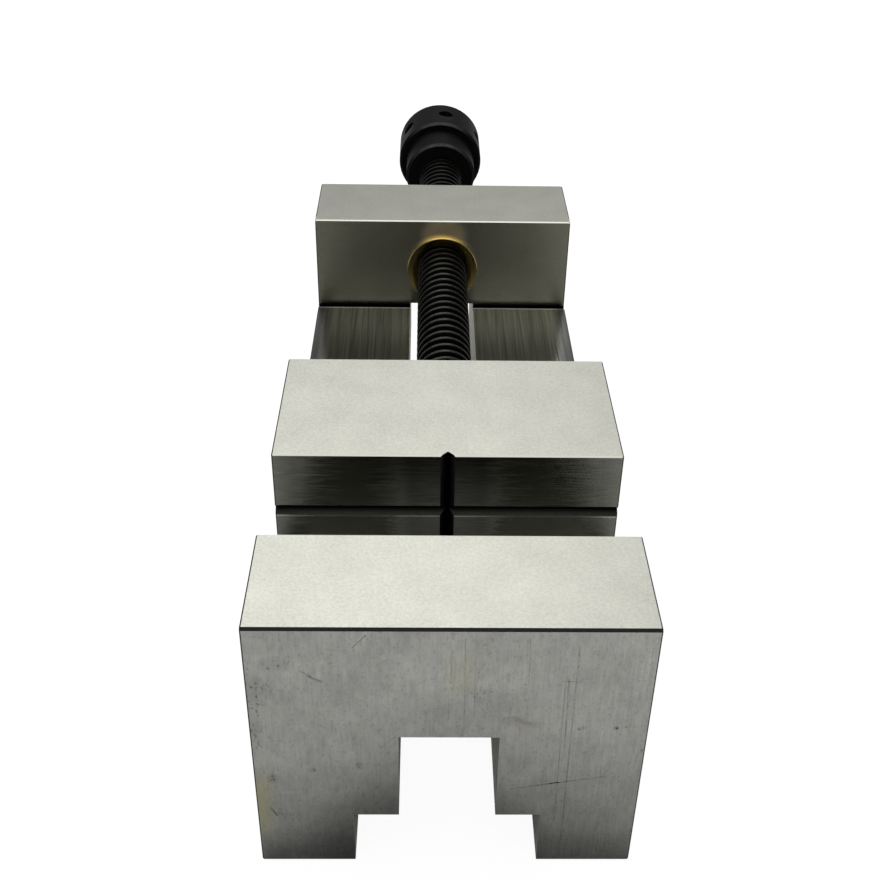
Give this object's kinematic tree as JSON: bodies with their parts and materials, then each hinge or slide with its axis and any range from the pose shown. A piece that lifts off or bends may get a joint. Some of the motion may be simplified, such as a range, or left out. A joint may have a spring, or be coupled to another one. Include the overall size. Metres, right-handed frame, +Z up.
{
  "type": "precision screw vise",
  "caption": "Ground steel screw vise: body in one piece with fixed jaw, bed and rear block, sliding jaw with vee grooves, brass nut, trapezoidal screw and round knob.",
  "frame": {"origin": "middle of the whole length from the fixed jaw's front face to the knob's end, at the middle of the width, on the plane of the underside, with the jaws 25.2 mm apart", "axes": "+X across the jaws, +Y along the screw from the fixed jaw to the knob, +Z up"},
  "size_m": [0.073, 0.2634, 0.063],
  "materials": {
    "ground_steel": "surface ground, fine straight grain, broken edges",
    "brass": "turned, bright",
    "black_steel": "black oxide, satin",
    "hidden_steel": "hardened and ground, oiled"
  },
  "bodies": {
    "frame": {"vise_body": "ground_steel", "screw_nut": "brass", "nut_set_screw": "black_steel"},
    "sliding_jaw": {"movable_jaw": "ground_steel", "keeper_plate": "ground_steel", "keeper_screws": "black_steel", "keeper_lock_washers": "hidden_steel", "left_nose_pin": "hidden_steel", "right_nose_pin": "hidden_steel", "thrust_pad": "hidden_steel"},
    "spindle": {"lead_screw": "black_steel", "knob": "black_steel", "knob_pin": "black_steel"}
  },
  "joints": [
    {"name": "jaw_slide", "type": "slide", "parent": "frame", "child": "sliding_jaw", "axis": [0, -1, 0], "range_m": [-0.0748, 0.025]},
    {"name": "screw_turn", "type": "hinge", "parent": "sliding_jaw", "child": "spindle", "pos_m": [0, -0.0435, 0.0474], "axis": [0, -1, 0], "range_deg": [-8481.3, 2834.7]}
  ],
  "couplings": [
    {"joint": "screw_turn", "follows": "jaw_slide", "rad_per_m": 1979}
  ]
}
